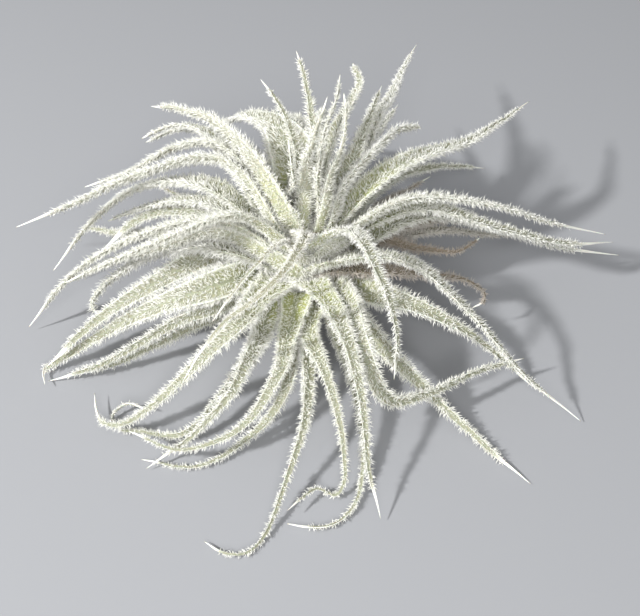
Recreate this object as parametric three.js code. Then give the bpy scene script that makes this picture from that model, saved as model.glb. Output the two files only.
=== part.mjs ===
// An air plant: a rosette of narrow, channelled leaves on a short stem, lying on a flat surface.
// Millimetres, +Z up. The origin is the centre of the stem's flat foot; the front is -Y.
import * as THREE from 'three';

// Driving dimensions
const STEM_HEIGHT = 34;
const STEM_RADIUS = 6.5;      // at its widest, a quarter of the way up
const STEM_FOOT_RADIUS = 5.5;
const STEM_TOP_RADIUS = 2;
const STEM_SIDES = 24;

const SEAT_LOWEST = 3;        // height of the lowest leaf's seat on the stem
const SEAT_HIGHEST = 32;
const SHEATH_CLIMB = 4.5;     // a leaf climbs this far beside the stem before it bends away
const SHEATH_LEAN = 2.5;
const SEAT_GAP = 0.4;         // between a leaf's root and the stem
const SEAT_ORDER_WEIGHT = 13; // how much a leaf's height on the stem counts beside its heading
const GOLDEN_TURN = Math.PI * (3 - Math.sqrt(5));

const LEAF_STATIONS = 18;     // cross-sections along a leaf
const ROOT_WIDTH_SHARE = 0.72;
const WIDEST_AT = 0.1;        // share of the leaf's length
const TAPER = 1.3;            // over 1, a leaf keeps its width for longer before it narrows
const TIP_WIDTH = 0.9;
const RIB_THICKNESS = 0.95;   // along the middle of the blade
const EDGE_THICKNESS = 0.65;
const CHANNEL_DEPTH_SHARE = 0.17; // how far the edges rise above the middle, as a share of the width
const FLOOR_CLEARANCE = 0.15; // under a leaf that lies on the surface

// How crossing leaves are bent clear of each other
const LEAF_CLEARANCE = 0.45;  // left between two leaves
const SAMPLES_BETWEEN = 4;    // places looked at from one station to the next
const SAMPLES_ACROSS = [-1, -0.5, 0, 0.5, 1];
const SAMPLE_REACH = 1.3;     // two samples this near aside lie over each other
const MEND_REACH = 5;         // how deep a crossing may be
const LEAST_AGREEMENT = 0.6;  // leaves that face each other more than this have no order
const MEND_SHARE = 0.6;       // of each push, taken in one pass
const EASE = 0.4;             // of each push, passed on to the stations beside it
const PASSES = 120;

// The leaves, from the foot of the stem up. Each has its greatest width and the places that its
// middle line passes through after it leaves the stem.
const LEAVES = [
  ['front_low_1', 6.0, [-3, -23, 8], [-4, -39, 8], [-13, -51, 3], [-27, -60, 1], [-41, -58, 1]],
  ['left_low_1', 6.0, [-19, -12, 12], [-35, -21, 9], [-51, -28, 4], [-65, -32, 1]],
  ['right_low_1', 6.8, [17, -23, 15], [29, -40, 14], [44, -51, 4], [59, -67, 1]],
  ['back_low_1', 6.0, [14, 17, 15], [25, 33, 13], [34, 49, 6], [43, 63, 1]],
  ['front_low_2', 5.4, [1, -21, 11], [2, -37, 13], [1, -53, 11], [-3, -65, 6], [-9, -80, 1],
    [-15, -85, 1], [-23, -81, 1]],
  ['front_low_3', 5.8, [-11, -17, 8], [-17, -34, 9], [-30, -50, 4], [-43, -48, 2], [-51, -45, 1],
    [-49, -40, 3], [-42, -42, 4]],
  ['back_low_2', 6.0, [-15, 17, 14], [-29, 33, 12], [-41, 47, 5], [-53, 60, 1]],
  ['front_low_4', 5.2, [10, -17, 11], [13, -32, 11], [16, -47, 7], [16, -61, 3], [14, -70, 1],
    [9, -76, 1], [3, -77, 1], [-3, -76, 1]],
  ['front_low_5', 6.2, [-4, -23, 12], [-7, -40, 12], [-16, -52, 7], [-31, -55, 3], [-46, -49, 4]],
  ['right_low_2', 6.0, [22, 12, 15], [42, 21, 13], [60, 28, 5], [76, 34, 1]],
  ['front_low_6', 5.2, [2, -24, 16], [5, -36, 18], [9, -48, 14], [11, -59, 8], [10, -68, 2],
    [4, -67, 3], [-3, -74, 4]],
  ['left_low_2', 6.0, [-22, 9, 15], [-41, 18, 13], [-57, 27, 6], [-72, 36, 1]],
  ['left_low_3', 6.4, [-18, -13, 18], [-36, -19, 14], [-53, -24, 6], [-70, -29, 1]],
  ['front_mid_1', 6.6, [-9, -21, 19], [-12, -35, 22], [-18, -48, 18], [-28, -54, 8], [-40, -61, 2]],
  ['front_mid_2', 6.6, [-11, -17, 21], [-16, -30, 24], [-26, -37, 17], [-36, -42, 8], [-47, -47, 2],
    [-53, -44, 1], [-56, -35, 1]],
  ['right_mid_1', 7.4, [20, -15, 21], [36, -21, 19], [51, -25, 10], [64, -32, 1]],
  ['left_mid_1', 6.4, [-17, -10, 22], [-32, -16, 21], [-48, -17, 13], [-66, -23, 4], [-73, -26, 1],
    [-72, -31, 1]],
  ['right_mid_2', 5.8, [26, 13, 20], [38, 21, 16], [49, 28, 10], [60, 33, 3]],
  ['front_mid_3', 6.4, [9, -26, 23], [13, -40, 23], [16, -52, 16], [17, -64, 9], [20, -75, 1]],
  ['right_mid_3', 6.6, [12, -23, 26], [15, -36, 26], [22, -43, 13], [30, -40, 11], [46, -31, 10],
    [60, -26, 9]],
  ['right_mid_4', 6.0, [19, -8, 23], [34, -8, 21], [48, -6, 16], [52, -10, 14], [48, -12, 12]],
  ['back_mid_1', 6.0, [16, 22, 24], [27, 33, 24], [44, 46, 18], [61, 61, 6]],
  ['left_mid_2', 5.8, [-19, -3, 26], [-32, 0, 23], [-45, 2, 17], [-57, -4, 12], [-60, -9, 10],
    [-58, -12, 8]],
  ['right_mid_5', 5.8, [21, 5, 24], [29, 5, 21], [38, 6, 18], [46, 9, 15], [53, 15, 15]],
  ['left_mid_3', 6.4, [-23, -2, 28], [-40, -11, 23], [-57, -16, 12], [-72, -25, 1]],
  ['left_mid_4', 5.8, [-22, -3, 32], [-39, -5, 28], [-54, -3, 21], [-70, -3, 12]],
  ['right_high_1', 6.2, [34, 7, 30], [56, 8, 24], [77, 10, 15], [97, 17, 6]],
  ['left_high_1', 5.8, [-21, 4, 30], [-35, 14, 27], [-49, 18, 20], [-62, 14, 10]],
  ['left_high_2', 6.2, [-25, -5, 36], [-46, -5, 31], [-65, -5, 18], [-80, -10, 2]],
  ['right_high_2', 6.6, [27, -15, 33], [43, -27, 27], [58, -38, 14], [75, -44, 1]],
  ['back_high_1', 5.8, [16, 26, 36], [22, 44, 32], [27, 61, 26], [32, 79, 20]],
  ['right_high_3', 6.0, [31, 1, 38], [54, -2, 33], [75, 3, 23], [93, 14, 14]],
  ['left_high_3', 5.6, [-20, 6, 34], [-33, 13, 31], [-46, 18, 24], [-59, 21, 16]],
  ['left_high_4', 6.4, [-21, 2, 42], [-36, 11, 39], [-51, 17, 30], [-64, 17, 18], [-75, 8, 8]],
  ['back_high_2', 6.0, [19, 28, 43], [27, 52, 41], [33, 77, 36], [39, 101, 30]],
  ['back_high_3', 6.2, [27, 10, 45], [47, 24, 43], [61, 44, 37], [73, 65, 30]],
  ['back_high_4', 6.0, [4, 16, 44], [5, 31, 43], [6, 46, 34], [7, 62, 20], [8, 76, 6]],
  ['back_high_5', 6.0, [-1, 14, 44], [-4, 27, 48], [-7, 42, 41], [-8, 56, 27], [-9, 70, 10]],
  ['back_high_6', 5.6, [-2, 14, 44], [-7, 24, 48], [-15, 34, 45], [-23, 45, 36], [-30, 55, 25]],
  ['left_high_5', 5.4, [-16, 18, 42], [-26, 32, 40], [-38, 42, 35], [-50, 48, 26]],
  ['right_high_4', 6.2, [28, -3, 44], [49, -5, 44], [69, -1, 34], [87, 6, 24]],
  ['left_high_6', 6.4, [-25, 7, 46], [-47, 10, 40], [-67, 12, 29], [-87, 18, 16]],
  ['front_high_1', 4.0, [-4, -15, 40], [-10, -25, 42], [-17, -31, 36], [-23, -31, 26]],
  ['front_high_2', 6.0, [-17, -10, 44], [-35, -13, 39], [-51, -11, 29], [-67, -8, 18]],
  ['crown_1', 5.6, [14, 14, 44], [18, 26, 46], [21, 39, 45], [24, 52, 44]],
  ['crown_2', 5.4, [-11, 8, 46], [-19, 18, 48], [-27, 28, 47], [-37, 35, 43], [-48, 38, 36]],
  ['crown_3', 5.6, [-19, 13, 48], [-35, 21, 43], [-51, 24, 32], [-67, 30, 22]],
  ['crown_4', 5.4, [11, 4, 40], [16, 8, 46], [22, 14, 49], [27, 21, 49], [34, 26, 47]],
  ['front_high_3', 5.6, [13, -15, 43], [19, -29, 43], [24, -38, 31], [24, -42, 16]],
  ['crown_5', 6.0, [7, 10, 44], [10, 17, 49], [14, 26, 53], [17, 35, 55], [15, 45, 56]],
  ['crown_6', 5.2, [-12, 0, 46], [-19, 9, 52], [-26, 19, 53], [-35, 28, 51], [-45, 36, 47]],
  ['front_high_4', 4.0, [1, -23, 47], [-7, -39, 46], [-20, -41, 34], [-30, -47, 20]],
  ['crown_7', 4.6, [6, 4, 49], [9, 11, 55], [13, 19, 61], [14, 29, 62]],
  ['crown_8', 4.6, [1, 7, 55], [0, 14, 62], [-1, 24, 66], [-3, 35, 67]],
  ['crown_9', 4.2, [0, 4, 46], [-1, 8, 53], [-5, 15, 60], [-11, 25, 63]],
  ['crown_10', 4.2, [5, 1, 48], [8, 6, 54], [9, 11, 61], [8, 19, 63]],
  ['crown_11', 4.2, [4, -2, 50], [5, -4, 58], [6, -4, 67], [8, 2, 72]],
  ['crown_12', 3.8, [0, 1, 44], [-1, 2, 51], [-2, 4, 58]],
];

const up = new THREE.Vector3(0, 0, 1);

function stemRadius(height) {
  const share = height / STEM_HEIGHT;
  if (share < 0.25) {
    return THREE.MathUtils.lerp(STEM_FOOT_RADIUS, STEM_RADIUS, Math.sin(share * 2 * Math.PI));
  }
  return THREE.MathUtils.lerp(STEM_RADIUS, STEM_TOP_RADIUS, (share - 0.25) / 0.75);
}

function stemGeometry() {
  const profile = [new THREE.Vector2(0, 0)];
  const steps = 10;
  for (let step = 0; step <= steps; step += 1) {
    const height = (STEM_HEIGHT * step) / steps;
    profile.push(new THREE.Vector2(stemRadius(height), height));
  }
  profile.push(new THREE.Vector2(0, STEM_HEIGHT + STEM_TOP_RADIUS / 2));
  return new THREE.LatheGeometry(profile, STEM_SIDES).rotateX(Math.PI / 2);
}

// Seats wind up the stem by the golden angle, as leaves grow. Each leaf takes the seat that is
// nearest to its own height and heading, by trading seats while a trade brings both nearer.
function assignSeats(leaves) {
  const seats = leaves.map((_, order) => ({
    order,
    height: THREE.MathUtils.lerp(SEAT_LOWEST, SEAT_HIGHEST, order / (leaves.length - 1)),
    turn: order * GOLDEN_TURN,
  }));
  const misfit = (leaf, seat) => {
    const [x, y] = leaf.places[0].toArray();
    const aside = 1 - Math.cos(Math.atan2(y, x) - seat.turn);
    const apart = (seat.order - leaf.order) / leaves.length;
    return aside + SEAT_ORDER_WEIGHT * apart * apart;
  };
  leaves.forEach((leaf, order) => {
    leaf.seat = seats[order];
  });
  for (let traded = true; traded;) {
    traded = false;
    for (const one of leaves) {
      for (const other of leaves) {
        const now = misfit(one, one.seat) + misfit(other, other.seat);
        const then = misfit(one, other.seat) + misfit(other, one.seat);
        if (then < now - 1e-9) {
          [one.seat, other.seat] = [other.seat, one.seat];
          traded = true;
        }
      }
    }
  }
}

function layLine(leaf) {
  const { height, turn } = leaf.seat;
  const outward = new THREE.Vector3(Math.cos(turn), Math.sin(turn), 0);
  const reach = stemRadius(height) + SEAT_GAP + RIB_THICKNESS;
  const root = outward.clone().multiplyScalar(reach).setZ(height);
  const shoulder = outward.clone().multiplyScalar(reach + SHEATH_LEAN).setZ(height + SHEATH_CLIMB);
  const curve = new THREE.CatmullRomCurve3([root, shoulder, ...leaf.places]);
  leaf.shape = curve.getSpacedPoints(LEAF_STATIONS - 1);
  leaf.line = leaf.shape;
  leaf.shifts = leaf.shape.map(() => new THREE.Vector3());
  leaf.across = new THREE.Vector3().crossVectors(up, outward);
}

function widthAt(leaf, share) {
  if (share < WIDEST_AT) {
    return leaf.width * THREE.MathUtils.lerp(ROOT_WIDTH_SHARE, 1, share / WIDEST_AT);
  }
  const narrowing = ((share - WIDEST_AT) / (1 - WIDEST_AT)) ** TAPER;
  return THREE.MathUtils.lerp(leaf.width, TIP_WIDTH, narrowing);
}

// The blade's cross-sections: at each station its place, the direction across the blade, which
// turns with the leaf and never twists about it, and the direction out of its upper face.
function sections(leaf) {
  const side = leaf.across.clone();
  return leaf.line.map((place, station) => {
    const before = leaf.line[Math.max(station - 1, 0)];
    const after = leaf.line[Math.min(station + 1, LEAF_STATIONS - 1)];
    const along = new THREE.Vector3().subVectors(after, before).normalize();
    side.addScaledVector(along, -side.dot(along)).normalize();
    const face = new THREE.Vector3().crossVectors(along, side);
    const half = widthAt(leaf, station / (LEAF_STATIONS - 1)) / 2;
    return { place, side: side.clone(), face, half };
  });
}

// A point of the channelled blade: `share` of the half width to one side, and `lift` off its
// middle surface.
function bladePoint({ place, side, face, half }, share, lift) {
  const rise = 2 * half * CHANNEL_DEPTH_SHARE * share * share;
  return place.clone().addScaledVector(side, half * share).addScaledVector(face, rise + lift);
}

function sampleBlade(leaf) {
  const cuts = sections(leaf);
  const samples = [];
  for (let step = 0; step <= SAMPLES_BETWEEN * (LEAF_STATIONS - 1); step += 1) {
    const station = Math.min(Math.floor(step / SAMPLES_BETWEEN), LEAF_STATIONS - 2);
    const share = step / SAMPLES_BETWEEN - station;
    for (const across of SAMPLES_ACROSS) {
      const place = bladePoint(cuts[station], across, 0);
      place.lerp(bladePoint(cuts[station + 1], across, 0), share);
      samples.push({ leaf, station: Math.round(station + share), place, face: cuts[station].face });
    }
  }
  return samples;
}

// Calls visit(lower, upper) for the samples of two leaves that are near each other.
function visitNeighbours(leaves, visit) {
  const cells = new Map();
  const samples = leaves.flatMap(sampleBlade);
  const keyOf = (x, y, z) => ((x + 64) * 128 + y + 64) * 128 + z + 64;
  for (const sample of samples) {
    sample.cell = sample.place.toArray().map((value) => Math.floor(value / MEND_REACH));
    const key = keyOf(...sample.cell);
    if (!cells.has(key)) cells.set(key, []);
    cells.get(key).push(sample);
  }
  const steps = [-1, 0, 1];
  for (const sample of samples) {
    const [x, y, z] = sample.cell;
    for (const i of steps) {
      for (const j of steps) {
        for (const k of steps) {
          for (const other of cells.get(keyOf(x + i, y + j, z + k)) ?? []) {
            if (sample.leaf.seat.order < other.leaf.seat.order) visit(sample, other);
          }
        }
      }
    }
  }
}

// Where two leaves meet, the one with the higher seat is bent up over the other, and the other is
// bent down, until they are clear. A leaf's root keeps its seat.
function bendClear(leaves) {
  const apart = new THREE.Vector3();
  const normal = new THREE.Vector3();
  const need = RIB_THICKNESS + LEAF_CLEARANCE;
  for (let pass = 0; pass < PASSES; pass += 1) {
    for (const leaf of leaves) {
      leaf.pushes = leaf.line.map(() => ({ up: new THREE.Vector3(), down: new THREE.Vector3() }));
    }
    visitNeighbours(leaves, (lower, upper) => {
      normal.addVectors(lower.face, upper.face);
      if (normal.length() < LEAST_AGREEMENT) return;
      normal.normalize();
      apart.subVectors(upper.place, lower.place);
      const gap = apart.dot(normal);
      const aside = Math.sqrt(Math.max(apart.lengthSq() - gap * gap, 0));
      if (gap > need || gap < -MEND_REACH || aside > SAMPLE_REACH) return;
      const depth = (need - gap) / 2;
      const { up: raise } = upper.leaf.pushes[upper.station];
      const { down: lowering } = lower.leaf.pushes[lower.station];
      if (depth > raise.length()) raise.copy(normal).multiplyScalar(depth);
      if (depth > lowering.length()) lowering.copy(normal).multiplyScalar(-depth);
    });
    leaves.forEach(applyPushes);
  }
}

// Moves a leaf's stations by their pushes, shared with the stations beside them so that the leaf
// keeps its form, then lifts it off the surface and the stem.
function applyPushes(leaf) {
  const last = LEAF_STATIONS - 1;
  const wanted = leaf.shifts.map((shift, station) => {
    const { up: raise, down: lowering } = leaf.pushes[station];
    return shift.clone().addScaledVector(raise, MEND_SHARE).addScaledVector(lowering, MEND_SHARE);
  });
  leaf.shifts = wanted.map((shift, station) => {
    const before = wanted[Math.max(station - 1, 0)];
    const after = wanted[Math.min(station + 1, last)];
    return before.clone().add(after).multiplyScalar(EASE / 2).addScaledVector(shift, 1 - EASE);
  });
  leaf.shifts[0].set(0, 0, 0);
  leaf.line = leaf.shape.map((place, station) => {
    const moved = place.clone().add(leaf.shifts[station]);
    moved.z = Math.max(moved.z, FLOOR_CLEARANCE + RIB_THICKNESS / 2);
    const offAxis = Math.hypot(moved.x, moved.y);
    const least = moved.z < STEM_HEIGHT ? stemRadius(moved.z) + SEAT_GAP + RIB_THICKNESS : 0;
    if (offAxis < least) moved.multiply(new THREE.Vector3(least / offAxis, least / offAxis, 1));
    leaf.shifts[station].subVectors(moved, place);
    return moved;
  });
}

// A closed blade: three points along its lower face and three along its upper one at each station.
function bladeGeometry(leaf) {
  const ring = [
    [-1, -EDGE_THICKNESS / 2], [0, -RIB_THICKNESS / 2], [1, -EDGE_THICKNESS / 2],
    [1, EDGE_THICKNESS / 2], [0, RIB_THICKNESS / 2], [-1, EDGE_THICKNESS / 2],
  ];
  const positions = [];
  const indices = [];
  sections(leaf).forEach((cut, station) => {
    for (const [share, lift] of ring) positions.push(...bladePoint(cut, share, lift).toArray());
    if (station === 0) return;
    const near = (station - 1) * ring.length;
    const far = station * ring.length;
    for (let corner = 0; corner < ring.length; corner += 1) {
      const next = (corner + 1) % ring.length;
      indices.push(near + corner, near + next, far + next);
      indices.push(near + corner, far + next, far + corner);
    }
  });
  const end = (LEAF_STATIONS - 1) * ring.length;
  for (const [a, b, c] of [[0, 5, 1], [1, 5, 4], [1, 4, 2], [2, 4, 3]]) {
    indices.push(a, b, c);
    indices.push(end + a, end + c, end + b);
  }
  const geometry = new THREE.BufferGeometry();
  geometry.setAttribute('position', new THREE.Float32BufferAttribute(positions, 3));
  geometry.setIndex(indices);
  geometry.computeVertexNormals();
  return geometry;
}

const stemMaterial = new THREE.MeshStandardMaterial({ color: 0xb9b48c, roughness: 0.85, metalness: 0 });
const leafMaterial = new THREE.MeshStandardMaterial({ color: 0xd9dec2, roughness: 0.9, metalness: 0 });

const leaves = LEAVES.map(([name, width, ...places], order) => ({
  name,
  width,
  order,
  places: places.map((place) => new THREE.Vector3(...place)),
}));
assignSeats(leaves);
leaves.forEach(layLine);
bendClear(leaves);

const airPlant = new THREE.Group();
const stem = new THREE.Mesh(stemGeometry(), stemMaterial);
stem.name = 'stem';
airPlant.add(stem);
for (const leaf of leaves) {
  const blade = new THREE.Mesh(bladeGeometry(leaf), leafMaterial);
  blade.name = `leaf_${leaf.name}`;
  airPlant.add(blade);
}

export default airPlant;
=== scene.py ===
import math

import bpy
import numpy as np
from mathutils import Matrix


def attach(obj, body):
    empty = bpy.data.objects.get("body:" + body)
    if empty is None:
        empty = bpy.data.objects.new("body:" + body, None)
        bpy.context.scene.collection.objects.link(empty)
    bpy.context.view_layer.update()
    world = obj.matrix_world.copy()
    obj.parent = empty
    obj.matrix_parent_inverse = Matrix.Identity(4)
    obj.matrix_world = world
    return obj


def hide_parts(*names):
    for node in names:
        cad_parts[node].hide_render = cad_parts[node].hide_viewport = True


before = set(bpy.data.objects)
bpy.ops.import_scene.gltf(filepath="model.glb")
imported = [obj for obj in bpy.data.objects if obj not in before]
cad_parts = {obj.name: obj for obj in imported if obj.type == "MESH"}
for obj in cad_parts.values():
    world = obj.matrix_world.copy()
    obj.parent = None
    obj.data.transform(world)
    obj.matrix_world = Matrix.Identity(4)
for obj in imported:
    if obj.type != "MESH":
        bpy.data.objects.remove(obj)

MM = 0.001
FULL_TURN = 2 * math.pi
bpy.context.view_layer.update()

# Camera: where the photograph was taken from
CAMERA_TARGET = (5 * MM, 0.0, 0.0)
CAMERA_DISTANCE = 300 * MM
CAMERA_ELEVATION = math.radians(45)
CAMERA_LENS = 56.2
CAMERA_SENSOR = 36

# Blades
RING_CORNERS = 6             # corners of a solid leaf's cross-sections, two of them in its middle
WELD = 0.002 * MM            # corners of a solid that lie this near are one
CURVE_STEPS = 12             # steps of the smooth curve from one of its cross-sections to the next
BLADE_STATIONS = 84          # cross-sections along the fine blade
BLADE_AROUND = 16            # points round each of them
BLADE_THICKNESS = 0.6 * MM
BLADE_ROUNDING = 0.75        # 1 for an oval cross-section, 0 for a flat-faced one
GROOVE_DEPTH = 0.10 * MM     # of the furrow along the upper face
GROOVE_WIDTH = 0.16          # from its middle, as a share of the half width
UNDER_BELOW = -0.05          # where round the blade its underside begins, as a sine
WAVER = 0.12 * MM            # how far a blade wanders from a true curve
WAVER_WAVES = 3              # waves laid over one another in it
WAVES_PER_LENGTH = (3, 6)
STEADY_FOOT = 1 / 6          # the share of the length over which the wavering sets in
STEADY_TIP = 8 * MM          # the length over which it dies away
# By share of the length: the blade's width as a share of its solid's, and how far its edges rise
# as a share of the half width.
WIDTH_STOPS = (0.0, 0.06, 0.18, 0.45, 0.75, 1.0)
WIDTH_SHARES = (1.80, 1.50, 1.05, 0.68, 0.58, 0.60)
CHANNEL_STOPS = (0.0, 0.5, 1.0)
CHANNEL_RISES = (0.30, 0.36, 0.62)
# The bare tip narrows to these shares of the blade's width and thickness.
TIP_WIDTH = 0.1
TIP_THICKNESS = 0.3
TIP_WIDTH_TAPER = 0.8        # 1 for a straight taper, less for a blunter tip
TIP_THICKNESS_TAPER = 0.7
BARE_FADE = (0.75, 1.25)     # hairs set in between these shares of its length from the tip
BARE_SPREAD = (0.8, 1.2)     # how much its length differs from leaf to leaf
# The young, lime stretch low on each leaf, by share of the length
YOUNG_MOST = 0.8
YOUNG_PLACES = (0.08, 0.22)
YOUNG_REACH = 0.09
YOUNG_SHORTER = 0.7          # how much shorter the hairs are there
# What sets leaves apart, by their side and level on the plant or one by one: how much broader than
# WIDTH_SHARES they are at the foot, at a third and at three quarters of their length, the share of
# the length that is the bare tip, and how long their hairs are beside others.
BREADTH_STOPS = (0.1, 0.33, 0.75, 0.93, 1.0)
KINDS = {
    "left_high": (1.2, 1.8, 1.6, 0.10, 1.0),
    "left_high_2": (1.0, 1.7, 1.7, 0.10, 1.0),
    "left_high_3": (1.2, 1.8, 1.5, 0.03, 1.0),
    "left_high_4": (1.0, 1.6, 1.5, 0.10, 1.0),
    "left_high_5": (1.4, 2.1, 1.6, 0.03, 1.0),
    "left_high_6": (1.0, 1.6, 1.4, 0.14, 1.0),
    "left_low": (1.0, 1.1, 1.0, 0.09, 1.0),
    "left_low_2": (1.0, 1.1, 1.3, 0.02, 1.0),
    "left_mid": (1.2, 1.8, 1.5, 0.08, 1.0),
    "left_mid_2": (1.2, 2.0, 2.4, 0.03, 1.4),
    "right": (1.0, 1.3, 1.0, 0.10, 1.0),
    "right_high": (1.3, 1.3, 1.05, 0.19, 1.0),
    "right_high_2": (1.0, 1.1, 0.85, 0.13, 0.9),
    "right_mid_1": (1.4, 1.3, 0.85, 0.08, 1.0),
    "right_mid_3": (1.0, 1.2, 1.3, 0.05, 1.0),
    "right_mid_4": (1.4, 1.3, 0.9, 0.04, 1.0),
    "right_mid_5": (1.0, 1.1, 0.8, 0.03, 0.9),
    "front": (1.0, 1.05, 0.85, 0.08, 1.0),
    "front_low": (1.1, 0.95, 0.66, 0.05, 0.75),
    "front_low_3": (1.1, 0.95, 0.66, 0.03, 0.75),
    "front_high_1": (1.0, 0.7, 0.7, 0.16, 0.6),
    "front_high_2": (1.0, 1.5, 1.5, 0.10, 1.0),
    "front_high_4": (1.0, 0.75, 0.75, 0.16, 0.6),
    "back": (1.0, 1.5, 0.7, 0.10, 0.9),
    "back_high_5": (1.5, 2.2, 1.2, 0.03, 1.0),
    "back_high_6": (2.1, 3.2, 1.6, 0.03, 1.0),
    "crown": (0.6, 1.2, 0.8, 0.09, 0.95),
    "crown_2": (1.4, 1.9, 1.5, 0.03, 1.0),
    "crown_3": (1.4, 2.0, 1.3, 0.08, 1.0),
    "crown_4": (1.0, 1.8, 2.4, 0.015, 1.3),
    "crown_5": (0.8, 1.6, 1.6, 0.03, 0.9),
    "crown_6": (1.5, 2.2, 1.2, 0.05, 1.1),
}
# How brown the old leaves are: low on the right, at the back, and two thin ones in front.
AGED = {
    "right_mid_5": 0.85,
    "right_mid_4": 0.75,
    "right_mid_2": 0.6,
    "right_low_2": 0.4,
    "back_low_1": 0.6,
    "back_low_2": 0.15,
    "front_high_1": 0.12,
    "front_high_4": 0.16,
}

# Hairs
HAIRS_PER_MM2 = 5.2
MARGIN_HAIRS_PER_MM = 4.6    # extra ones along both margins together
MARGIN_BAND = 0.2            # how far round the blade they stray from the margin, in radians
HAIR_LENGTH = 3.0 * MM       # on the margin at the foot of a leaf
HAIR_LENGTHS = (0.5, 1.12)   # of that, from hair to hair
TIP_HAIR_SHARE = 0.45        # of that, at the tip
FACE_HAIR_SHARE = 0.62       # of that, in the middle of a face
HAIR_RADIUS = 0.115 * MM
HAIR_RADII = (0.7, 1.2)      # of that, from hair to hair
BEND_RADIUS = 0.72           # of a hair's own radius, at half its length
HAIR_LEAN = math.radians(66)      # from the leaf's own direction
HAIR_LEAN_SPREAD = math.radians(20)
HAIR_CURL = math.radians(18)      # how much further forward its tip points than its root
HAIR_SIDEWAYS = 1.15         # how hard hairs are drawn towards the margins
HAIR_UPWARDS = 0.75          # and off the faces
HAIR_SCATTER = 0.5
HAIR_SIDES = 3
HAIR_POINTS = 2 * HAIR_SIDES + 1
GROOVE_CLEAR = 0.05          # hairs keep clear of the groove by this share of the half width

# Stem
STEM_RINGS = 60
STEM_AROUND = 64
STEM_RIDGES = 5
RIDGE_RISE = 2.2 * MM        # the height over which their wave shifts by a radian, so they wind
RIDGE_DEPTH = 0.05           # as a share of the radius
STEM_HAIRS_PER_MM2 = 5.0
STEM_HAIR_LENGTHS = (0.5, 1.0)
STEM_HAIR_SCATTER = 0.3
STEM_HAIR_SHARE = 0.02       # they are coloured as hairs at this share of a leaf's length
STEM_TINT = 0.5

# Which of a piece's two materials a face has, and where the colours of a blade or the stem and
# those of hairs lie across the flat chart of the piece
OWN_MATERIAL, HAIR_MATERIAL = 0, 1
BLADE_CHART = (0.01, 0.45)
HAIR_CHART = (0.52, 0.98)
HAIR_CHART_WIDTH = 0.004

LEAF_SEED = 1000
STEM_SEED = 999
FLOOR_LIFT = 0.05 * MM

# Studio
FLOOR_SIZE = 6.0
FLOOR_GREY = (150, 151, 154)
KEY_PLACE, KEY_SIZE, KEY_POWER = (-0.8, -0.45, 0.74), 0.08, 16.5
FILL_PLACE, FILL_SIZE, FILL_POWER = (0.0, -0.95, 0.75), 0.5, 8.5
SKY_COLOUR, SKY_STRENGTH = (0.96, 0.98, 1.0, 1.0), 0.48


def srgb(*seen):
    """A colour as seen, 0 to 255, in the linear values that the shaders take."""
    shares = [value / 255 for value in seen]
    linear = [share / 12.92 if share <= 0.04045 else ((share + 0.055) / 1.055) ** 2.4 for share in shares]
    return (*linear, 1.0)


def place_camera():
    camera = bpy.data.objects.new("camera", bpy.data.cameras.new("camera"))
    bpy.context.scene.collection.objects.link(camera)
    camera.data.lens = CAMERA_LENS
    camera.data.sensor_width = CAMERA_SENSOR
    camera.data.clip_start = 5 * MM
    x, y, z = CAMERA_TARGET
    camera.location = (x, y - CAMERA_DISTANCE * math.cos(CAMERA_ELEVATION),
                       z + CAMERA_DISTANCE * math.sin(CAMERA_ELEVATION))
    camera.rotation_euler = (math.pi / 2 - CAMERA_ELEVATION, 0, 0)
    bpy.context.scene.camera = camera


# ---------------------------------------------------------------- shader maths

class Paint:
    """One socket among a material's nodes. Arithmetic on it adds Math nodes."""

    def __init__(self, tree, socket=None):
        self.tree = tree
        self.socket = socket

    def node(self, kind, settings=None, sockets=None, output=0):
        """Any node: its type, its settings, then the values or links of its sockets."""
        made = self.tree.nodes.new(kind)
        for name, value in (settings or {}).items():
            setattr(made, name, value)
        for key, value in (sockets or {}).items():
            if isinstance(value, Paint):
                self.tree.links.new(value.socket, made.inputs[key])
            else:
                made.inputs[key].default_value = value
        return Paint(self.tree, made.outputs[output])

    def maths(self, operation, *values):
        return self.node("ShaderNodeMath", {"operation": operation}, dict(enumerate(values)))

    def __add__(self, other):
        return self.maths("ADD", self, other)

    def __radd__(self, other):
        return self.maths("ADD", other, self)

    def __sub__(self, other):
        return self.maths("SUBTRACT", self, other)

    def __rsub__(self, other):
        return self.maths("SUBTRACT", other, self)

    def __mul__(self, other):
        return self.maths("MULTIPLY", self, other)

    def __rmul__(self, other):
        return self.maths("MULTIPLY", other, self)

    def __abs__(self):
        return self.maths("ABSOLUTE", self)

    def between(self, low, high):
        """0 where this is low, 1 where it is high, and smooth in between."""
        return self.node("ShaderNodeMapRange", {"interpolation_type": "SMOOTHSTEP"},
                         {"Value": self, "From Min": low, "From Max": high})

    def attribute(self, name):
        return self.node("ShaderNodeAttribute", {"attribute_name": name}, output="Fac")

    def noise(self, vector, scale, detail=3.0, roughness=0.55):
        return self.node("ShaderNodeTexNoise", None,
                         {"Vector": vector, "Scale": scale, "Detail": detail, "Roughness": roughness})

    def mix(self, first, second, share):
        """A colour between two, by a share from 0 to 1."""
        return self.node("ShaderNodeMix", {"data_type": "RGBA", "clamp_factor": True},
                         {0: share, 6: first, 7: second}, output=2)

    def vector(self, x, y, z):
        return self.node("ShaderNodeCombineXYZ", None, {0: x, 1: y, 2: z})

    def bump(self, height, depth, strength):
        return self.node("ShaderNodeBump", None,
                         {"Strength": strength, "Distance": depth, "Height": height})

    def feed(self, socket):
        self.tree.links.new(self.socket, socket)


def new_material(name):
    material = bpy.data.materials.new(name)
    material.use_nodes = True
    return material, material.node_tree.nodes["Principled BSDF"], Paint(material.node_tree)


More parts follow.
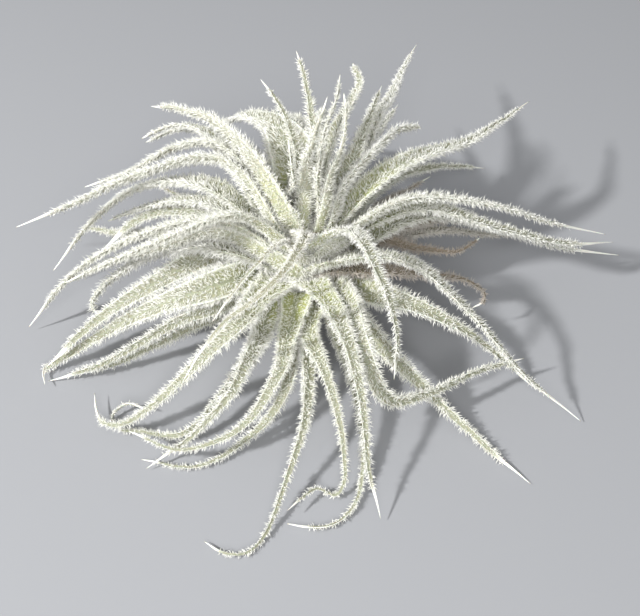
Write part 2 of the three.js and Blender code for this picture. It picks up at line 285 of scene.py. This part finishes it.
def blade_material():
    """Sage blade, its sage darkened as painted shade for the hairs' shade on it: lime at the root, a
    greener groove, pale margins, fibres and an ivory spear.
    """
    material, shader, paint = new_material("leaf_blade")
    along = paint.attribute("along")
    across = paint.attribute("across")
    bare = paint.attribute("bare")
    under = paint.attribute("under")
    tint = paint.attribute("tint")
    fibres = paint.noise(paint.vector(across * 9.0, along * 5.0, tint * 40.0), 3.0, 4.0)
    patches = paint.noise(paint.vector(across * 0.6, along * 7.0, tint * 25.0), 1.6, 2.0)
    # The blade's own sage, made darker as painted shade: the shade the hairs cast on the blade between
    # them.
    sage_and_painted_shade = paint.mix(srgb(156, 156, 134), srgb(112, 114, 92), fibres.between(0.35, 0.7))
    lime = paint.mix(srgb(170, 174, 112), srgb(138, 146, 72), fibres.between(0.3, 0.75))
    foot = 1 - along.between(0.1, 0.42)
    young = paint.attribute("young") * (0.6 + 0.8 * patches.between(0.35, 0.65))
    colour = paint.mix(sage_and_painted_shade, lime, young + 0.45 * foot)
    groove = (1 - abs(across).between(0.05, 0.26)) * (1 - under)
    colour = paint.mix(colour, srgb(146, 150, 128), groove * 0.65)
    margin = abs(across).between(0.72, 0.97)
    colour = paint.mix(colour, srgb(244, 245, 238), margin * 0.75)
    colour = paint.mix(colour, srgb(198, 196, 184), under * 0.4)
    colour = paint.mix(colour, srgb(130, 112, 98), paint.attribute("aged") * 0.8)
    spear = paint.mix(srgb(246, 245, 234), srgb(214, 207, 178), along.between(0.992, 1.0))
    paint.mix(colour, spear, bare).feed(shader.inputs["Base Color"])
    (0.62 + 0.2 * fibres - 0.18 * bare).feed(shader.inputs["Roughness"])
    paint.bump(fibres * 0.7 + 0.3 * patches, 0.06 * MM, 0.35).feed(shader.inputs["Normal"])
    shader.inputs["Subsurface Weight"].default_value = 0.08
    shader.inputs["Subsurface Scale"].default_value = 0.4 * MM
    return material


def hair_material():
    """Ivory hairs, a little greener and darker at the root, the darkening being painted shade among the
    hairs, each leaf and each hair a shade apart.
    """
    material, shader, paint = new_material("leaf_hairs")
    out = paint.attribute("out")
    tint = paint.attribute("tint")
    shade = paint.attribute("shade")
    along = paint.attribute("along")
    ivory = paint.mix(srgb(253, 252, 248), srgb(250, 249, 241), tint)
    # Hair roots: greener as the real hair is, and darker as painted shade for the shade that falls among
    # the hairs.
    root = paint.mix(srgb(194, 194, 177), srgb(184, 188, 146), 1 - along.between(0.08, 0.42))
    colour = paint.mix(root, ivory, out.between(0.0, 0.5))
    colour = paint.mix(colour, srgb(214, 214, 200), shade.between(0.45, 1.0) * 0.75)
    paint.mix(colour, srgb(160, 143, 130), paint.attribute("aged") * 0.85).feed(shader.inputs["Base Color"])
    (0.5 + 0.2 * shade).feed(shader.inputs["Roughness"])
    shader.inputs["Sheen Weight"].default_value = 0.2
    return material


def stem_material():
    """Fibrous leaf bases round the stem: straw-brown and dry low down, pale green higher up."""
    material, shader, paint = new_material("stem_bases")
    along = paint.attribute("along")
    across = paint.attribute("across")
    rings = paint.noise(paint.vector(across * 6.0, along * 24.0, 3.0), 1.5, 3.0)
    fibres = paint.noise(paint.vector(across * 90.0, along * 9.0, 8.0), 1.0, 4.0)
    old = paint.mix(srgb(134, 116, 78), srgb(184, 168, 122), fibres.between(0.35, 0.7))
    green = paint.mix(srgb(180, 190, 128), srgb(212, 214, 172), rings.between(0.4, 0.65))
    paint.mix(old, green, along.between(0.1, 0.7)).feed(shader.inputs["Base Color"])
    (0.7 + 0.25 * rings).feed(shader.inputs["Roughness"])
    paint.bump(fibres, 0.3 * MM, 0.6).feed(shader.inputs["Normal"])
    return material


# ---------------------------------------------------------------- leaves from the frame

def merged(mesh):
    """A node's corner points, each once, and which of them share an edge."""
    places = np.array([vertex.co[:] for vertex in mesh.vertices])
    keys, index = np.unique(np.round(places / WELD).astype(np.int64), axis=0, return_inverse=True)
    index = index.reshape(-1)
    points = np.zeros((len(keys), 3))
    points[index] = places
    beside = [set() for _ in points]
    for edge in mesh.edges:
        one, other = index[edge.vertices[0]], index[edge.vertices[1]]
        if one != other:
            beside[one].add(other)
            beside[other].add(one)
    return points, beside


def rings_of(points, beside):
    """The leaf's cross-sections from root to tip, found by walking back from its thin tip."""
    apart = np.linalg.norm(points[:, None] - points[None, :], axis=2)
    nearest = np.argsort(apart, axis=1)[:, :RING_CORNERS]
    spread = [apart[np.ix_(group, group)].sum() for group in nearest]
    ring = nearest[int(np.argmin(spread))].tolist()
    seen, rings = set(ring), [ring]
    while len(seen) < len(points):
        middle = points[ring].mean(axis=0)
        following = set().union(*(beside[i] for i in seen)) - seen
        ring = sorted(following, key=lambda i: np.linalg.norm(points[i] - middle))[:RING_CORNERS]
        rings.append(ring)
        seen |= set(ring)
    return [points[ring] for ring in reversed(rings)]


def unit(vectors):
    return vectors / np.maximum(np.linalg.norm(vectors, axis=-1, keepdims=True), 1e-12)


def across_the(direction, along):
    """The part of a direction that is square to the leaf."""
    return unit(direction - along * np.sum(direction * along, axis=-1, keepdims=True))


def smooth_line(rows, count):
    """Rows evenly along the smooth curve through the given ones, and its length. A row starts
    with its place."""
    ends = [2 * rows[0] - rows[1], *rows, 2 * rows[-1] - rows[-2]]
    fine = []
    for before, here, there, after in zip(ends, ends[1:], ends[2:], ends[3:]):
        for share in np.linspace(0, 1, CURVE_STEPS, endpoint=False):
            fine.append(0.5 * (2 * here + (there - before) * share
                               + (2 * before - 5 * here + 4 * there - after) * share ** 2
                               + (3 * here - before - 3 * there + after) * share ** 3))
    fine = np.array([*fine, rows[-1]])
    steps = np.linalg.norm(np.diff(fine[:, :3], axis=0), axis=1)
    travelled = np.concatenate([[0], np.cumsum(steps)])
    wanted = np.linspace(0, travelled[-1], count)
    return np.stack([np.interp(wanted, travelled, column) for column in fine.T], axis=1), travelled[-1]


class Leaf:
    """A leaf's middle line and, at each station, the way across it, its upper face and half width."""

    def __init__(self, node):
        rings = rings_of(*merged(node.data))
        middles = np.array([ring.mean(axis=0) for ring in rings])
        along = unit(np.gradient(middles, axis=0))
        widest = int(np.argmax([np.ptp(ring, axis=0).max() for ring in rings]))
        across = np.linalg.svd(rings[widest] - middles[widest], full_matrices=False)[2][0]
        sides = np.zeros_like(middles)
        for stations in (range(widest, len(rings)), range(widest, -1, -1)):
            side = across
            for station in stations:
                side = across_the(side, along[station])
                sides[station] = side
        # The edges of each cross-section stand above its middle, on the leaf's upper face.
        faces = np.cross(along, sides)
        lean = 0.0
        halves, hearts = [], []
        for ring, side, face, middle in zip(rings, sides, faces, middles):
            reach = (ring - middle).dot(side)
            order = np.argsort(reach)
            heart = ring[order[2:-2]].mean(axis=0)
            edges = ring[[*order[:2], *order[-2:]]].mean(axis=0)
            lean += (edges - heart).dot(face)
            halves.append(np.ptp(reach) / 2)
            hearts.append(heart)
        if lean < 0:
            faces, sides = -faces, -sides
        table, self.length = smooth_line(np.column_stack([hearts, sides, faces, halves]), BLADE_STATIONS)
        self.middle = table[:, 0:3]
        self.along = unit(np.gradient(self.middle, axis=0))
        self.side = unit(table[:, 3:6])
        self.face = unit(table[:, 6:9])
        self.half = table[:, 9]
        self.share = np.linspace(0, 1, BLADE_STATIONS)

    def shape(self, bare_length, breadth, draw):
        """Shapes the fine blade: a flared foot, a slim outer part, a bare spear and a slight waver."""
        to_tip = (1 - self.share) * self.length
        spear = np.clip(to_tip / bare_length, 0, 1)
        self.half *= np.interp(self.share, WIDTH_STOPS, WIDTH_SHARES)
        self.half *= np.interp(self.share, BREADTH_STOPS, (*breadth, breadth[-1], 1.0))
        self.half *= TIP_WIDTH + (1 - TIP_WIDTH) * spear ** TIP_WIDTH_TAPER
        thinning = TIP_THICKNESS + (1 - TIP_THICKNESS) * spear ** TIP_THICKNESS_TAPER
        self.thickness = BLADE_THICKNESS * thinning
        self.channel = np.interp(self.share, CHANNEL_STOPS, CHANNEL_RISES)
        self.bare = np.interp(to_tip / bare_length, BARE_FADE, (1, 0))
        youth = YOUNG_MOST * draw.uniform(0, 1)
        self.young = youth * np.exp(-((self.share - draw.uniform(*YOUNG_PLACES)) / YOUNG_REACH) ** 2)
        fade = np.clip(self.share / STEADY_FOOT, 0, 1) * np.clip(to_tip / STEADY_TIP, 0, 1)
        sway = np.zeros_like(fade)
        for _ in range(WAVER_WAVES):
            waves = draw.uniform(*WAVES_PER_LENGTH)
            sway += np.sin(waves * FULL_TURN * self.share + draw.uniform(0, FULL_TURN))
        self.middle = self.middle + self.side * (WAVER / 2 * fade * sway)[:, None]

    def at(self, share, values):
        """Values of the stations, one or a vector each, at any shares of the length."""
        if values.ndim == 1:
            return np.interp(share, self.share, values)
        return np.stack([np.interp(share, self.share, column) for column in values.T], axis=1)


def section(around, half, thickness, channel):
    """Where a point round the blade's cross-section lies: how far aside, and how far above."""
    aside = np.cos(around) * half
    above = np.sign(np.sin(around)) * np.abs(np.sin(around)) ** BLADE_ROUNDING * thickness / 2
    above = above + half * channel * np.cos(around) ** 2
    upper = np.clip(np.sin(around), 0, 1)
    groove = GROOVE_DEPTH * upper * np.exp(-(np.cos(around) / GROOVE_WIDTH) ** 2)
    return aside, above - groove


# ---------------------------------------------------------------- meshes

class Surface:
    """Points, faces and what the materials read at each point, gathered into one mesh."""

    def __init__(self):
        self.points, self.charts, self.faces, self.slots = [], [], [], []
        self.values = {key: [] for key in ("along", "across", "bare", "under", "young", "out", "shade")}
        self.size = 0

    def add(self, points, faces, slot, chart, **values):
        for group in faces:
            self.faces.append(np.asarray(group) + self.size)
            self.slots.append(slot)
        self.points.append(points)
        self.charts.append(chart)
        for key, rows in self.values.items():
            rows.append(np.broadcast_to(values.get(key, 0.0), len(points)))
        self.size += len(points)

    def mesh(self, name, tint, aged, materials):
        mesh = bpy.data.meshes.new(name)
        corners = np.concatenate([group.reshape(-1) for group in self.faces])
        sizes = np.concatenate([np.full(len(group), group.shape[1]) for group in self.faces])
        slots = np.concatenate([np.full(len(group), slot) for group, slot in zip(self.faces, self.slots)])
        starts = np.concatenate([[0], np.cumsum(sizes)[:-1]])
        points = np.concatenate(self.points)
        points[:, 2] = np.maximum(points[:, 2], FLOOR_LIFT)
        mesh.vertices.add(len(points))
        mesh.vertices.foreach_set("co", points.astype(np.float32).reshape(-1))
        mesh.loops.add(len(corners))
        mesh.loops.foreach_set("vertex_index", corners.astype(np.int32))
        mesh.polygons.add(len(sizes))
        mesh.polygons.foreach_set("loop_start", starts.astype(np.int32))
        mesh.polygons.foreach_set("material_index", slots.astype(np.int32))
        mesh.polygons.foreach_set("use_smooth", np.ones(len(sizes), dtype=bool))
        columns = {key: np.concatenate(rows) for key, rows in self.values.items()}
        columns["tint"] = np.full(len(points), tint)
        columns["aged"] = np.full(len(points), aged)
        for key, column in columns.items():
            layer = mesh.attributes.new(key, "FLOAT", "POINT")
            layer.data.foreach_set("value", column.astype(np.float32))
        uv = mesh.uv_layers.new(name="OFBake")
        chart = np.clip(np.concatenate(self.charts), 0, 1)
        uv.data.foreach_set("uv", chart[corners].astype(np.float32).reshape(-1))
        mesh.update(calc_edges=True)
        mesh.validate()
        for material in materials:
            mesh.materials.append(material)
        return mesh


def grid_faces(rows, around):
    """Quads of a tube: rows of points, each row closed round."""
    row, corner = np.meshgrid(np.arange(rows - 1), np.arange(around), indexing="ij")
    following = (corner + 1) % around
    near, far = row * around, (row + 1) * around
    quads = [near + corner, near + following, far + following, far + corner]
    return np.stack(quads, axis=-1).reshape(-1, 4)


def chart_of(around):
    """How far across the flat chart a point round a blade or the stem lies."""
    return np.interp(around / FULL_TURN, (0, 1), BLADE_CHART)


def add_blade(surface, leaf):
    around = np.linspace(0, FULL_TURN, BLADE_AROUND, endpoint=False)
    aside, above = section(around[None], leaf.half[:, None], leaf.thickness[:, None], leaf.channel[:, None])
    points = (leaf.middle[:, None] + leaf.side[:, None] * aside[..., None]
              + leaf.face[:, None] * above[..., None]).reshape(-1, 3)
    root = np.arange(BLADE_AROUND)[::-1]
    tip = (BLADE_STATIONS - 1) * BLADE_AROUND + np.arange(BLADE_AROUND)
    shares = np.repeat(leaf.share, BLADE_AROUND)
    chart = np.column_stack([np.tile(chart_of(around), BLADE_STATIONS), shares])
    faces = [grid_faces(BLADE_STATIONS, BLADE_AROUND), root[None], tip[None]]
    under = (np.sin(around) < UNDER_BELOW).astype(float)
    surface.add(points, faces, OWN_MATERIAL, chart, along=shares,
                across=np.tile(np.cos(around), BLADE_STATIONS), under=np.tile(under, BLADE_STATIONS),
                bare=np.repeat(leaf.bare, BLADE_AROUND), young=np.repeat(leaf.young, BLADE_AROUND))


def add_hairs(surface, root, along, outward, reach, share, draw):
    """Tapering, curved hairs with three sides. Each leans from `outward` towards `along`."""
    count = len(root)
    lean = HAIR_LEAN + draw.normal(0, HAIR_LEAN_SPREAD, count)
    radius = HAIR_RADIUS * draw.uniform(*HAIR_RADII, count)

    def heading(angle):
        return along * np.cos(angle)[:, None] + outward * np.sin(angle)[:, None]

    bend = root + heading(lean + HAIR_CURL / 2) * (reach / 2)[:, None]
    tip = bend + heading(lean - HAIR_CURL / 2) * (reach / 2)[:, None]
    one = unit(np.cross(along, outward))
    other = unit(np.cross(heading(lean), one))
    turns = draw.uniform(0, FULL_TURN, count)[:, None] + np.arange(HAIR_SIDES) * FULL_TURN / HAIR_SIDES
    ring = one[:, None] * np.cos(turns)[..., None] + other[:, None] * np.sin(turns)[..., None]
    low = root[:, None] + ring * radius[:, None, None]
    high = bend[:, None] + ring * (radius * BEND_RADIUS)[:, None, None]
    points = np.concatenate([low, high, tip[:, None]], axis=1).reshape(-1, 3)
    corner = np.arange(HAIR_SIDES)
    following = (corner + 1) % HAIR_SIDES
    high_corner, high_following = HAIR_SIDES + corner, HAIR_SIDES + following
    quads = np.stack([corner, following, high_following, high_corner], axis=1)
    peak = np.full(HAIR_SIDES, HAIR_POINTS - 1)
    caps = np.stack([high_corner, high_following, peak], axis=1)
    start = (np.arange(count) * HAIR_POINTS)[:, None, None]
    faces = [(quads[None] + start).reshape(-1, 4), (caps[None] + start).reshape(-1, 3)]
    out = np.tile([0.0] * HAIR_SIDES + [0.5] * HAIR_SIDES + [1.0], count)
    spread = np.linspace(-HAIR_CHART_WIDTH, HAIR_CHART_WIDTH, HAIR_SIDES)
    shares = np.repeat(share, HAIR_POINTS)
    chart = np.column_stack([np.interp(out, (0, 1), HAIR_CHART),
                             shares + np.tile([*spread, *spread, 0.0], count)])
    surface.add(points, faces, HAIR_MATERIAL, chart, along=shares, out=out,
                shade=np.repeat(draw.uniform(0, 1, count), HAIR_POINTS))


def add_leaf_hairs(surface, leaf, hair_share, draw):
    """Hairs all round the blade. Those on its faces part to both sides of the groove."""
    haired = 1 - leaf.bare
    by_face = np.cumsum(leaf.half * haired)
    by_margin = np.cumsum(haired)
    area = 4 * leaf.length * np.mean(leaf.half * haired) / MM ** 2
    on_faces = int(area * HAIRS_PER_MM2)
    on_margins = int(leaf.length / MM * MARGIN_HAIRS_PER_MM)
    count = on_faces + on_margins
    share = np.concatenate([np.interp(draw.uniform(0, by_face[-1], on_faces), by_face, leaf.share),
                            np.interp(draw.uniform(0, by_margin[-1], on_margins), by_margin, leaf.share)])
    round_faces = np.arccos(draw.uniform(-1, 1, on_faces)) * draw.choice([-1, 1], on_faces)
    round_margins = math.pi * draw.integers(0, 2, on_margins) + draw.normal(0, MARGIN_BAND, on_margins)
    around = np.concatenate([round_faces, round_margins])
    astride = (np.sin(around) > 0) & (np.abs(np.cos(around)) < GROOVE_CLEAR)
    around -= GROOVE_CLEAR * np.sign(np.cos(around)) * astride
    along, side, face = (unit(leaf.at(share, rows)) for rows in (leaf.along, leaf.side, leaf.face))
    shape = (leaf.at(share, row) for row in (leaf.half, leaf.thickness, leaf.channel))
    aside, above = section(around, *shape)
    root = leaf.at(share, leaf.middle) + side * aside[:, None] + face * above[:, None]
    sideways = np.sign(np.cos(around)) * np.abs(np.cos(around)) ** 0.5
    outward = (side * (HAIR_SIDEWAYS * sideways)[:, None]
               + face * (HAIR_UPWARDS * np.sin(around))[:, None])
    outward = across_the(unit(outward) + draw.normal(0, HAIR_SCATTER, (count, 3)), along)
    reach = HAIR_LENGTH * hair_share * draw.uniform(*HAIR_LENGTHS, count)
    reach *= FACE_HAIR_SHARE + (1 - FACE_HAIR_SHARE) * np.abs(sideways)
    reach *= np.interp(share, (0, 1), (1, TIP_HAIR_SHARE))
    reach *= 1 - YOUNG_SHORTER * leaf.at(share, leaf.young)
    add_hairs(surface, root, along, outward, reach, share, draw)


def add_piece(name, mesh, node):
    piece = bpy.data.objects.new(name, mesh)
    bpy.context.scene.collection.objects.link(piece)
    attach(piece, "root")
    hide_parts(node)


def kind_of(place):
    """A leaf's own entry in KINDS, or else that of its level, or else that of its side."""
    words = place.split("_")
    while "_".join(words) not in KINDS:
        words.pop()
    return KINDS["_".join(words)]


def dress_leaf(name, seed, materials):
    draw = np.random.default_rng(seed)
    place = name.removeprefix("leaf_")
    foot, third, outer, bare_share, hair_share = kind_of(place)
    leaf = Leaf(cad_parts[name])
    leaf.shape(leaf.length * bare_share * draw.uniform(*BARE_SPREAD), (foot, third, outer), draw)
    surface = Surface()
    add_blade(surface, leaf)
    add_leaf_hairs(surface, leaf, hair_share, draw)
    mesh = surface.mesh(name + "_dressed", draw.uniform(0, 1), AGED.get(place, 0.0), materials)
    add_piece(name + "_dressed", mesh, name)


def stem_grid():
    """The stem's points, ring by ring, each one's turn round it and its share of the height."""
    places = [vertex.co[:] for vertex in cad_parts["stem"].data.vertices]
    radii = {}
    for x, y, z in sorted(places, key=lambda place: math.hypot(*place[:2])):
        radii[round(z, 6)] = math.hypot(x, y)
    levels = sorted(radii)
    heights = np.linspace(levels[0], levels[-1], STEM_RINGS)
    turns = np.linspace(0, FULL_TURN, STEM_AROUND, endpoint=False)
    height, turn = (grid.reshape(-1) for grid in np.meshgrid(heights, turns, indexing="ij"))
    ridge = np.abs(np.sin(STEM_RIDGES / 2 * turn + height / RIDGE_RISE))
    radius = np.interp(height, levels, [radii[level] for level in levels])
    radius *= 1 - RIDGE_DEPTH + RIDGE_DEPTH * ridge
    points = np.column_stack([radius * np.cos(turn), radius * np.sin(turn), height])
    area = FULL_TURN * radius.mean() * (levels[-1] - levels[0])
    return points, turn, (height - levels[0]) / (levels[-1] - levels[0]), area


def dress_stem(materials):
    """The stem, ridged by old leaf bases that wind round it, and hairy between them."""
    points, turn, share, area = stem_grid()
    foot = np.arange(STEM_AROUND)[::-1]
    crown = (STEM_RINGS - 1) * STEM_AROUND + np.arange(STEM_AROUND)
    faces = [grid_faces(STEM_RINGS, STEM_AROUND), foot[None], crown[None]]
    chart = np.column_stack([chart_of(turn), share])
    surface = Surface()
    surface.add(points, faces, OWN_MATERIAL, chart, along=share, across=2 * turn / FULL_TURN - 1)
    draw = np.random.default_rng(STEM_SEED)
    spot = draw.integers(STEM_AROUND, len(points), int(area / MM ** 2 * STEM_HAIRS_PER_MM2))
    outward = unit(np.column_stack([np.cos(turn[spot]), np.sin(turn[spot]), np.zeros(len(spot))]))
    outward = unit(outward + draw.normal(0, STEM_HAIR_SCATTER, outward.shape))
    up = across_the(np.broadcast_to([0.0, 0.0, 1.0], outward.shape), outward)
    reach = HAIR_LENGTH * draw.uniform(*STEM_HAIR_LENGTHS, len(spot))
    add_hairs(surface, points[spot], up, outward, reach, np.full(len(spot), STEM_HAIR_SHARE), draw)
    add_piece("stem_dressed", surface.mesh("stem_dressed", STEM_TINT, 0.0, materials), "stem")


# ---------------------------------------------------------------- studio

def add_floor():
    bpy.ops.mesh.primitive_plane_add(size=FLOOR_SIZE, location=(0, 0, 0))
    floor = bpy.context.object
    floor.name = "floor"
    material, shader, _ = new_material("floor_pale")
    shader.inputs["Base Color"].default_value = srgb(*FLOOR_GREY)
    shader.inputs["Roughness"].default_value = 0.9
    floor.data.materials.append(material)


def add_softbox(name, place, size, power):
    light = bpy.data.lights.new(name, "AREA")
    light.shape = "DISK"
    light.size = size
    light.energy = power
    lamp = bpy.data.objects.new(name, light)
    bpy.context.scene.collection.objects.link(lamp)
    lamp.location = place
    lamp.rotation_euler = lamp.location.to_track_quat("Z", "Y").to_euler()


def light_studio():
    add_softbox("key_left", KEY_PLACE, KEY_SIZE, KEY_POWER)
    add_softbox("fill_front", FILL_PLACE, FILL_SIZE, FILL_POWER)
    world = bpy.data.worlds.new("studio")
    world.use_nodes = True
    sky = world.node_tree.nodes["Background"]
    sky.inputs["Color"].default_value = SKY_COLOUR
    sky.inputs["Strength"].default_value = SKY_STRENGTH
    bpy.context.scene.world = world
    bpy.context.scene.view_settings.view_transform = "Standard"


place_camera()
hairs = hair_material()
leaf_materials = [blade_material(), hairs]
leaf_names = sorted(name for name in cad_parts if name.startswith("leaf_"))
for order, leaf_name in enumerate(leaf_names):
    dress_leaf(leaf_name, LEAF_SEED + order, leaf_materials)
dress_stem([stem_material(), hairs])
add_floor()
light_studio()
